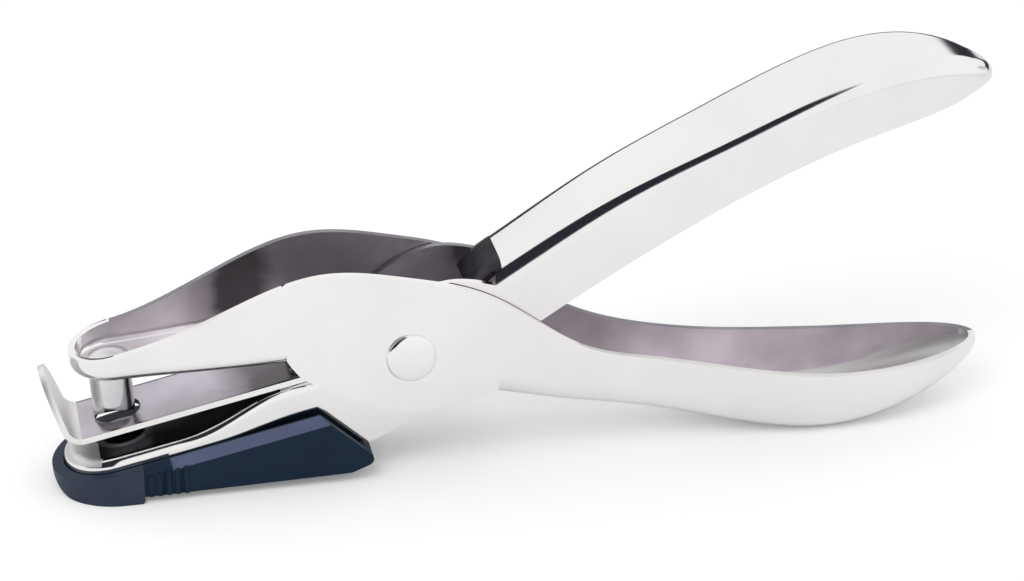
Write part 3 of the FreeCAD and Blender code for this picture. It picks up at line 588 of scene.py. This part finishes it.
def flat_inside(index, centre, normal):
    """The floors and ends of a channel, which stay bright while its walls are dull."""
    return index == 1 and abs(normal.y) < 0.62


def grip_floor(index, centre, normal):
    """The channel's floor and its bends behind the hinge."""
    return index in (0, 1) and centre.x > 25 and normal.z > 0.2 and abs(normal.y) < 0.93


def near_rim(index, centre, normal):
    """The cut edge on the camera's side (-Y) and at the jaw's end, made bright as photographed.

    The bright plate there is a painted highlight; the far side's stays dull, though the two
    sides of a real lever are alike.
    """
    return index == 2 and (centre.y < 0.5 or centre.x < -41)


def jaw_floor(index, centre, normal):
    """The die jaw's floor and rim ahead of the plate's hole."""
    return index in (0, 2) and centre.x < -44 and normal.z > 0.3


def under_plate(index, centre, normal):
    """The jaw's floor and ramp under the stripper plate, given the near-black painted shadow."""
    return (index == 0 and -44 < centre.x < -19 and abs(centre.y) < 6.4 and normal.z > 0.8
            and centre.z < on_tilt(DIE_TILT, centre.x, 0)[1])


def on_tongue(index, centre, normal):
    """The web's rolled front end between the cheeks, in the same black: a painted reflection."""
    return index == 0 and centre.x < ROOT + 0.9 and abs(centre.y) < 5.7 and centre.z > 6.5


def build_levers():
    """Both skins; the indices of refinish are the places of the finishes that dress lists."""
    punch = dress(punch_lever_skin(), PLATED, INSIDE, CUT_EDGE, SATIN_AND_HIGHLIGHT)
    break_edges(punch)
    settle(punch)
    refinish(punch, flat_inside, 0)
    # The near cut edges get the bright plate: a painted highlight.
    refinish(punch, near_rim, 0)
    refinish(punch, grip_floor, 3)
    die = dress(die_lever_skin(), PLATED_DIE, INSIDE, CUT_EDGE, PAINTED_SHADE, SATIN_AND_HIGHLIGHT)
    hole = jaw_rod("die_hole_cutter", 4.2, -FACE_DROP - 3, 6)
    carve(die, hole)
    break_edges(die)
    settle(die, hole)
    refinish(die, flat_inside, 0)
    # The near cut edges get the bright plate: a painted highlight.
    refinish(die, near_rim, 0)
    # Painted shadow under the plate, painted reflection on the tongue, both near-black.
    refinish(die, under_plate, 3)
    refinish(die, on_tongue, 3)
    refinish(die, jaw_floor, 4)
    return punch, die


def jaw_rod(name, radius, low, length):
    """A cylinder through the die's axis, square to the die's jaw."""
    base = tilted(DIE_TILT, -REACH, low)
    axis = (-math.sin(DIE_TILT), 0, math.cos(DIE_TILT))
    profile = [(0, 0), (radius, 0), (radius, length), (0, length)]
    return turned(name, profile, (base[0], 0, base[1]), axis, 64)


# --- Punch pin with its riveted head, pivot rivet ---

def build_pin():
    """The pin hangs from the upper jaw's floor; its cutting end is arched along the tool.

    It is drawn 7.2 mm long, as photographed, where the solid that it replaces has 6.42 mm.
    """
    length, arch = 7.2, 1.4
    bow = (PIN_RADIUS ** 2 + arch ** 2) / (2 * arch)
    tip = FLOOR_RISE - length
    columns = []
    for k in range(ROUND + 1):
        angle = 2 * math.pi * k / ROUND
        columns.append((math.cos(angle), math.sin(angle)))
    rows = []
    for share in np.linspace(0, 1, 9):
        radius = PIN_RADIUS * share
        ring = []
        for c, s in columns:
            x = radius * c
            ring.append((x, radius * s, tip + arch - bow + math.sqrt(bow ** 2 - x ** 2)))
        rows.append(ring)
    rim = rows[-1]
    for height in np.linspace(0.15, 1, 8):
        rows.append([(PIN_RADIUS * c, PIN_RADIUS * s,
                      rim[k][2] + (FLOOR_RISE - rim[k][2]) * height)
                     for k, (c, s) in enumerate(columns)])
    top = FLOOR_RISE + STEEL
    for radius, rise in ((3.0, -0.1), (3.1, 0.0), (3.1, 0.45), (2.98, 0.62), (2.7, 0.7),
                         (2.2, 0.72), (1.9, 0.66), (1.2, 0.6), (0.5, 0.6), (0.0, 0.6)):
        rows.append([(radius * c, radius * s, top + rise) for c, s in columns])
    points = []
    for row in rows:
        for x, y, z in row:
            px, pz = tilted(PUNCH_TILT, x - REACH, z)
            points.append((px, y, pz))
    pin = mesh_object("punch_pin_body", points, grid_faces(len(rows), ROUND + 1))
    break_edges(pin, 0.1, 50)
    return settle(pin)


def build_pivot_rivet():
    """A shank with a low domed head at each end."""
    face, rim, crown = CHEEK, CHEEK + 0.5, CHEEK + 0.9
    half = [(0.0, crown), (1.2, crown - 0.03), (2.2, crown - 0.1), (3.0, crown - 0.2),
            (3.35, crown - 0.3), (3.53, rim - 0.08), (HEAD_RADIUS, rim - 0.25),
            (HEAD_RADIUS, face), (2.5, face)]
    profile = [(r, -h) for r, h in half] + [(r, h) for r, h in half[::-1]]
    return turned("pivot_rivet_body", profile, (0, 0, 0), (0, 1, 0))


# --- Stripper plate with its upturned lip, and its rivets ---

def plate_path():
    """The middle line of the plate's upper face from its tail to the lip's tip, as (x, z)."""
    lean, bend_radius, front = math.radians(83), 2.0, -51.79
    setback = bend_radius * math.tan(lean / 2)
    root = REACH + 6.9 - setback
    top = PLATE_SEAT + PLATE_THICK
    line = [(-a, top) for a in np.linspace(PLATE_TAIL, root, 44)]
    for angle in np.linspace(0, lean, 14)[1:]:
        line.append((-root - bend_radius * math.sin(angle),
                     top + bend_radius * (1 - math.cos(angle))))
    world_lean = lean - DIE_TILT
    reach = front + PLATE_THICK * math.sin(world_lean)
    x, z = tilted(DIE_TILT, *line[-1])
    path = [tilted(DIE_TILT, *point) for point in line]
    for share in np.sin(np.linspace(0, math.pi / 2, 26))[1:]:
        gone = (x - reach) * share
        path.append((x - gone, z + gone * math.tan(world_lean)))
    return path


def build_plate():
    half, lip_round, columns = 5.75, 3.0, 21
    path = plate_path()
    tip = path[-1][0]
    points = []
    for x, z in path:
        share = max(0.0, 1 - (x - tip) / lip_round)
        width = half * math.sqrt(max(0.0, 1 - share ** 2))
        points.extend((x, y, z) for y in np.linspace(-width, width, columns))
    plate = mesh_object("stripper_plate_sheet", points, grid_faces(len(path), columns))
    if sum(face.normal.z for face in plate.data.polygons) < 0:
        plate.data.flip_normals()
    # Top: plate steel; underside: near-black painted shadow; rim: bright plate, a painted
    # highlight.
    dress(plate, PLATE, PAINTED_SHADE, PLATED, SATIN_AND_HIGHLIGHT)
    use(plate, "SOLIDIFY", "sheet", thickness=PLATE_THICK * MM, offset=-1, use_even_offset=True,
        material_offset=1, material_offset_rim=2)
    # The cutter gives the hole's wall the near-black painted shadow.
    hole = dress(jaw_rod("plate_hole_cutter", PIN_RADIUS + 0.35, PLATE_SEAT - 2, 6), PAINTED_SHADE)
    carve(plate, hole)
    plate.modifiers["carve"].material_mode = "TRANSFER"
    break_edges(plate, 0.14)
    settle(plate, hole)
    refinish(plate, on_lip, 3)
    return plate


def on_lip(index, centre, normal):
    """The plate's top ahead of the pin and all its lip, in lighter satin: a painted highlight."""
    return centre.x < -46.5 and (normal.z > -0.5 or centre.x < -48.4)


def build_plate_rivets():
    """Two equal domed heads on the plate and their tails under the jaw."""
    radius, height = 1.7, 0.45
    top = PLATE_SEAT + PLATE_THICK
    low = PLATE_SEAT - STEEL
    dome = [(0.0, height), (0.7, height - 0.03), (1.3, height - 0.12), (1.6, height - 0.25),
            (radius, 0.0)]
    axis = (-math.sin(DIE_TILT), 0, math.cos(DIE_TILT))
    profile = [(r, low - h) for r, h in dome] + [(1.0, low), (1.0, top)]
    profile += [(r, top + h) for r, h in dome[::-1]]
    heads = []
    for side in (-1, 1):
        base = tilted(DIE_TILT, RIVET_ALONG, 0)
        heads.append(turned(
            f"plate_rivet_{'near' if side < 0 else 'far'}", profile,
            (base[0], side * RIVET_ACROSS, base[1]), axis, ROUND // 2))
    return heads


# --- Return spring ---

def build_spring():
    """Three turns and a bit round the bush, one leg under the tongue, one on the lower web."""
    wire, coil, pitch = 0.6, 4.55, 1.5
    upper_seat = Vector((9.49, 0, 6.68))
    lower_seat = Vector((ROOT, 0, -5.7))
    reach = [math.hypot(seat.x, seat.z) for seat in (upper_seat, lower_seat)]
    start = math.atan2(upper_seat.z, upper_seat.x) + math.acos(coil / reach[0])
    end = math.atan2(lower_seat.z, lower_seat.x) - math.acos(coil / reach[1]) + 2 * math.pi
    sweep = end - start + 6 * math.pi
    shift = pitch * sweep / (4 * math.pi)
    turns = [Vector((coil * math.cos(start + sweep * t), shift * (2 * t - 1),
                     coil * math.sin(start + sweep * t))) for t in np.linspace(0, 1, 96)]
    upper_seat.y, lower_seat.y = -shift, shift
    first = upper_seat + (upper_seat - turns[0]).normalized() * 6
    last = lower_seat + (lower_seat - turns[-1]).normalized() * 6
    path = [first] + turns + [last]
    curve = bpy.data.curves.new("return_spring_path", "CURVE")
    curve.dimensions = "3D"
    curve.bevel_depth = wire * MM
    curve.bevel_resolution = 5
    curve.use_fill_caps = True
    run = curve.splines.new("POLY")
    run.points.add(len(path) - 1)
    for point, place in zip(run.points, placed(path)):
        point.co = (*place, 1)
    guide = bpy.data.objects.new("return_spring_guide", curve)
    bpy.context.scene.collection.objects.link(guide)
    mesh = bpy.data.meshes.new_from_object(
        guide.evaluated_get(bpy.context.evaluated_depsgraph_get()))
    bpy.data.objects.remove(guide)
    spring = bpy.data.objects.new("return_spring_wire", mesh)
    bpy.context.scene.collection.objects.link(spring)
    return spring, shift


# --- Chip cup ---

CUP = {
    "jaw": 7.65, "nose": -49.05, "wall": 1.2, "proud": 0.4, "nose_end": -38.4,
    "rim_drop": 4.8, "rear_top": -13.2, "rear_foot": (-4.9, 3.1), "heel": (-8.9, 1.5),
    "lift": (-37.0, 0.9), "toe": 2.6, "floor": 2.7, "seat": 1.3, "rear_wall": 3.6,
    "chamfer_from": -36.4, "chamfer_in": 0.85, "chamfer_down": 1.55, "gap": 0.15,
    "rib": 0.6, "rib_pitch": 1.25, "rib_proud": 0.22, "rib_drop": 1.4,
}
SPAN = 30.0


def rounded(corners):
    """An outline from (x, z, radius) corners, with each corner turned into an arc."""
    outline = []
    for k, (x, z, radius) in enumerate(corners):
        here = Vector((x, z))
        if not radius:
            outline.append((x, z))
            continue
        before = (Vector(corners[k - 1][:2]) - here).normalized()
        after = (Vector(corners[(k + 1) % len(corners)][:2]) - here).normalized()
        half = before.angle(after) / 2
        middle = here + (before + after).normalized() * (radius / math.sin(half))
        start = here + before * (radius / math.tan(half)) - middle
        sweep = math.pi - 2 * half
        way = 1 if before.x * after.y - before.y * after.x < 0 else -1
        for share in np.linspace(0, 1, 9):
            turn = Matrix.Rotation(way * sweep * share, 2)
            outline.append(tuple(middle + turn @ start))
    return outline


def nose_outline(drop, front):
    """The side outline of the cup's nose, which stands on the table."""
    rear = CUP["nose_end"]
    return rounded([
        (*on_tilt(DIE_TILT, rear, -drop), 0), (rear, TABLE, 0.5), (front, TABLE, CUP["toe"]),
        (*on_tilt(DIE_TILT, front, -drop), 0),
    ])


def cup_outline(drop):
    """The side outline of the cup behind its nose, whose underside clears the table."""
    rear, heel, lift = CUP["rear_foot"], CUP["heel"], CUP["lift"]
    front = CUP["nose_end"] - 0.4
    return rounded([
        (*on_tilt(DIE_TILT, CUP["rear_top"], -drop), 0.5),
        (rear[0], TABLE + rear[1], 1.0),
        (heel[0], TABLE + heel[1], 2.5),
        (lift[0], TABLE + lift[1], 0),
        (front, TABLE + lift[1], 0),
        (*on_tilt(DIE_TILT, front, -drop), 0),
    ])


def cup_plan(half, nose, rear):
    """A plan with a half-round nose and straight sides back to the rear."""
    centre = nose + half
    angles = np.linspace(math.pi / 2, 1.5 * math.pi, 49)
    front = [(centre + half * math.cos(a), half * math.sin(a)) for a in angles]
    return [(rear, half)] + front + [(rear, -half)]


def common(name, outline, plan_outline):
    """What a side outline and a plan have in common, carried right through."""
    body = prism(name, outline, -SPAN, SPAN)
    footprint = prism(f"{name}_plan", plan_outline, -SPAN, SPAN, "XY")
    carve(body, footprint, operation="INTERSECT")
    return settle(body, footprint)


def chamfer_cutter(side, half):
    """A bar along the rim that takes off the outer top edge of one side of the cup."""
    inward, down = CUP["chamfer_in"], CUP["chamfer_down"]
    top = -CUP["rim_drop"]
    low = (half + inward, top - 2 * down)
    high = (half - 2 * inward, top + down)
    section = [low, high, (half + 3, top + 3)]
    points = []
    for along in (CUP["chamfer_from"], 0.0):
        for across, rise in section:
            x, z = tilted(DIE_TILT, along, rise)
            points.append((x, side * across, z))
    faces = [(0, 1, 2), (5, 4, 3), (0, 3, 4, 1), (1, 4, 5, 2), (2, 5, 3, 0)]
    return mesh_object(f"cup_chamfer_{side}", points, faces)


def build_cup():
    """A chamfered body, a nose and ribs in one, hollowed for the jaw and for the chips."""
    outer = CUP["jaw"] + CUP["wall"]
    front = CUP["nose"] - CUP["wall"] - CUP["proud"]
    drop = CUP["rim_drop"]
    sides = [(0, -outer), (0, outer), (-SPAN * 2, outer), (-SPAN * 2, -outer)]
    body = dress(common("chip_cup_body", cup_outline(drop), sides), RUBBER)
    # The chamfer faces take the lighter rubber: a painted highlight.
    cutters = [dress(chamfer_cutter(side, outer), RUBBER_EDGE_HIGHLIGHT) for side in (-1, 1)]
    carve(body, *cutters)
    for modifier in body.modifiers:
        modifier.material_mode = "TRANSFER"
    settle(body, *cutters)
    snub = common("cup_snub", nose_outline(drop, front),
                  cup_plan(outer + CUP["proud"], front, CUP["nose_end"]))
    break_edges(snub, 0.4, 50, 4)
    settle(snub)
    # The nose takes the lighter rubber: a painted highlight.
    dress(snub, RUBBER_NOSE_HIGHLIGHT)
    ribs = []
    for k in range(5):
        x = CUP["nose_end"] + CUP["rib_pitch"] * (k + 1) - CUP["rib"]
        end, reach = x + CUP["rib"], outer + CUP["rib_proud"]
        strip = [(x, -reach), (end, -reach), (end, reach), (x, reach)]
        ribs.append(common(f"cup_rib_{k}", cup_outline(drop + CUP["rib_drop"]), strip))
    carve(body, snub, *ribs, operation="UNION")
    body.modifiers["carve"].material_mode = "TRANSFER"
    settle(body, snub, *ribs)
    foot_front = on_tilt(DIE_TILT, CUP["nose"] + CUP["gap"], -FACE_DROP - JAW_FOOT)
    slope = (JAW_HEEL[1] - foot_front[1]) / (JAW_HEEL[0] - foot_front[0])
    ledge = [(x, foot_front[1] + slope * (x - foot_front[0]) - CUP["gap"]) for x in (-60, 0)]
    pocket = common("cup_pocket", ledge + [(0, SPAN), (-60, SPAN)],
                    cup_plan(CUP["jaw"], CUP["nose"], 5))
    rim = on_tilt(DIE_TILT, CUP["rear_top"], -CUP["rim_drop"])
    foot = (CUP["rear_foot"][0], TABLE + CUP["rear_foot"][1])
    lean = (foot[0] - rim[0]) / (foot[1] - rim[1])
    floor = TABLE + CUP["floor"]
    rear = rim[0] + lean * (floor - rim[1]) - CUP["rear_wall"]
    chamber = common(
        "cup_chamber", [(-60, floor), (rear, floor), (rear - lean * floor, 0), (-60, 0)],
        cup_plan(CUP["jaw"] - CUP["seat"], CUP["nose"] + CUP["seat"], 0))
    carve(body, pocket, chamber)
    settle(body, pocket, chamber)
    break_edges(body, 0.3, 35, 3)
    return settle(body)


# --- Put together ---

punch_skin, die_skin = build_levers()
for skin, lever in ((punch_skin, "punch_lever"), (die_skin, "die_lever")):
    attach(skin, lever)
    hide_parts(lever)

pin = dress(build_pin(), TOOL)
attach(pin, "punch_lever")
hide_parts("punch_pin")

rivet = dress(build_pivot_rivet(), PLATED)
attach(rivet, "punch_lever")
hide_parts("pivot_rivet")

plate = build_plate()
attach(plate, "die_lever")
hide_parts("stripper_plate")

for head in build_plate_rivets():
    # The heads share the plate's painted reflection, dark where they stand.
    dress(head, PLATE)
    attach(head, "die_lever")
    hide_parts("stripper_rivets")

spring, spring_shift = build_spring()
dress(spring, SPRING)
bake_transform(spring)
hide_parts("return_spring")

cup = build_cup()
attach(cup, "chip_cup")
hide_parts("chip_cup")

# The bushes take the near-black painted shadow.
for node in ("die_bush", "pivot_bush"):
    dress(frame["nodes"][node], BUSH)


# --- Stage: pale floor, soft studio light, camera ---

def build_floor():
    """A pale floor just under the part, a little brighter to the camera alone."""
    size, low = 4.0, -0.05 * MM
    mesh = bpy.data.meshes.new("floor")
    mesh.from_pydata([(-size, -size, low), (size, -size, low), (size, size, low),
                      (-size, size, low)], [], [(0, 1, 2, 3)])
    floor = bpy.data.objects.new("floor", mesh)
    bpy.context.scene.collection.objects.link(floor)
    made, nodes, links, shader = material("floor_paper")
    shader.inputs["Base Color"].default_value = (0.86, 0.86, 0.86, 1)
    shader.inputs["Roughness"].default_value = 0.9
    shader.inputs["Specular IOR Level"].default_value = 0.0
    glow = nodes.new("ShaderNodeEmission")
    glow.inputs["Strength"].default_value = 0.16
    seen = nodes.new("ShaderNodeLightPath")
    both = nodes.new("ShaderNodeAddShader")
    mix = nodes.new("ShaderNodeMixShader")
    links.new(shader.outputs[0], both.inputs[0])
    links.new(glow.outputs[0], both.inputs[1])
    links.new(seen.outputs["Is Camera Ray"], mix.inputs["Fac"])
    links.new(shader.outputs[0], mix.inputs[1])
    links.new(both.outputs[0], mix.inputs[2])
    links.new(mix.outputs[0], nodes["Material Output"].inputs["Surface"])
    mesh.materials.append(made)


def band(nodes, links, value, low, high, soft):
    """1 between low and high, falling to 0 over a soft edge."""
    edges = []
    for a, b in ((low - soft, low + soft), (high + soft, high - soft)):
        edge = nodes.new("ShaderNodeMapRange")
        edge.interpolation_type = "SMOOTHSTEP"
        edge.inputs["From Min"].default_value = a
        edge.inputs["From Max"].default_value = b
        links.new(value, edge.inputs["Value"])
        edges.append(edge.outputs["Result"])
    return math_node(nodes, links, "MULTIPLY", *edges)


def build_world():
    """White all round, and for glossy rays a dark horizon at the back and a dark card in front.

    Each dark patch is a range of height (the sine of its elevation) and of heading.
    """
    patches = (
        ((-0.3, 0.27), (84, 172), 0.03, 0.12),
        ((-0.3, 0.20), (20, 86), 0.03, 0.12),
        ((0.02, 0.97), (-168, -108), 0.03, 0.05),
    )
    world = bpy.data.worlds.new("studio")
    bpy.context.scene.world = world
    world.use_nodes = True
    nodes, links = world.node_tree.nodes, world.node_tree.links
    nodes.clear()
    place = nodes.new("ShaderNodeTexCoord")
    axes = nodes.new("ShaderNodeSeparateXYZ")
    links.new(place.outputs["Generated"], axes.inputs[0])
    heading = math_node(nodes, links, "ARCTAN2", axes.outputs["Y"], axes.outputs["X"])
    dark = None
    for heights, headings, soft_height, soft_heading in patches:
        patch = math_node(
            nodes, links, "MULTIPLY",
            band(nodes, links, axes.outputs["Z"], *heights, soft_height),
            band(nodes, links, heading, *map(math.radians, headings), soft_heading))
        dark = math_node(nodes, links, "MAXIMUM", dark, patch) if dark else patch
    seen = nodes.new("ShaderNodeMix")
    seen.data_type = "RGBA"
    seen.inputs["A"].default_value = (0.97, 0.97, 0.97, 1)
    seen.inputs["B"].default_value = (0.02, 0.02, 0.03, 1)
    links.new(dark, seen.inputs["Factor"])
    paths = nodes.new("ShaderNodeLightPath")
    lit = nodes.new("ShaderNodeBackground")
    lit.inputs["Color"].default_value = (1, 1, 1, 1)
    lit.inputs["Strength"].default_value = 0.9
    mirrored = nodes.new("ShaderNodeBackground")
    links.new(seen.outputs["Result"], mirrored.inputs["Color"])
    backdrop = nodes.new("ShaderNodeBackground")
    backdrop.inputs["Color"].default_value = (1, 1, 1, 1)
    first = nodes.new("ShaderNodeMixShader")
    second = nodes.new("ShaderNodeMixShader")
    output = nodes.new("ShaderNodeOutputWorld")
    links.new(paths.outputs["Is Glossy Ray"], first.inputs["Fac"])
    links.new(lit.outputs[0], first.inputs[1])
    links.new(mirrored.outputs[0], first.inputs[2])
    links.new(paths.outputs["Is Camera Ray"], second.inputs["Fac"])
    links.new(first.outputs[0], second.inputs[1])
    links.new(backdrop.outputs[0], second.inputs[2])
    links.new(second.outputs[0], output.inputs["Surface"])


def build_lamp():
    """One large soft lamp high on the front left, for a little shape in the rubber."""
    light = bpy.data.lights.new("softbox", "AREA")
    light.energy = 2.0
    light.size = 0.5
    lamp = bpy.data.objects.new("softbox", light)
    bpy.context.scene.collection.objects.link(lamp)
    lamp.location = (-0.35, -0.45, 0.7)
    aim = Vector((0, 0, 0.02)) - lamp.location
    lamp.rotation_euler = aim.to_track_quat("-Z", "Y").to_euler()
    lamp.visible_glossy = False


def build_camera():
    """450 mm from a point just over the hinge, a little to the front left and above."""
    azimuth, elevation, distance = math.radians(-11.5), math.radians(26), 0.450
    target = PIVOT + Vector((15.94, -0.52, 5.46)) * MM
    back = Vector((math.sin(azimuth) * math.cos(elevation),
                   -math.cos(azimuth) * math.cos(elevation), math.sin(elevation)))
    data = bpy.data.cameras.new("camera")
    data.sensor_width = 36.0
    data.lens = 110.74
    data.clip_start = 0.01
    camera = bpy.data.objects.new("camera", data)
    bpy.context.scene.collection.objects.link(camera)
    camera.location = target + back * distance
    camera.rotation_euler = (-back).to_track_quat("-Z", "Y").to_euler()
    bpy.context.scene.camera = camera


build_floor()
build_world()
build_lamp()
build_camera()
bpy.context.scene.view_settings.view_transform = "Standard"
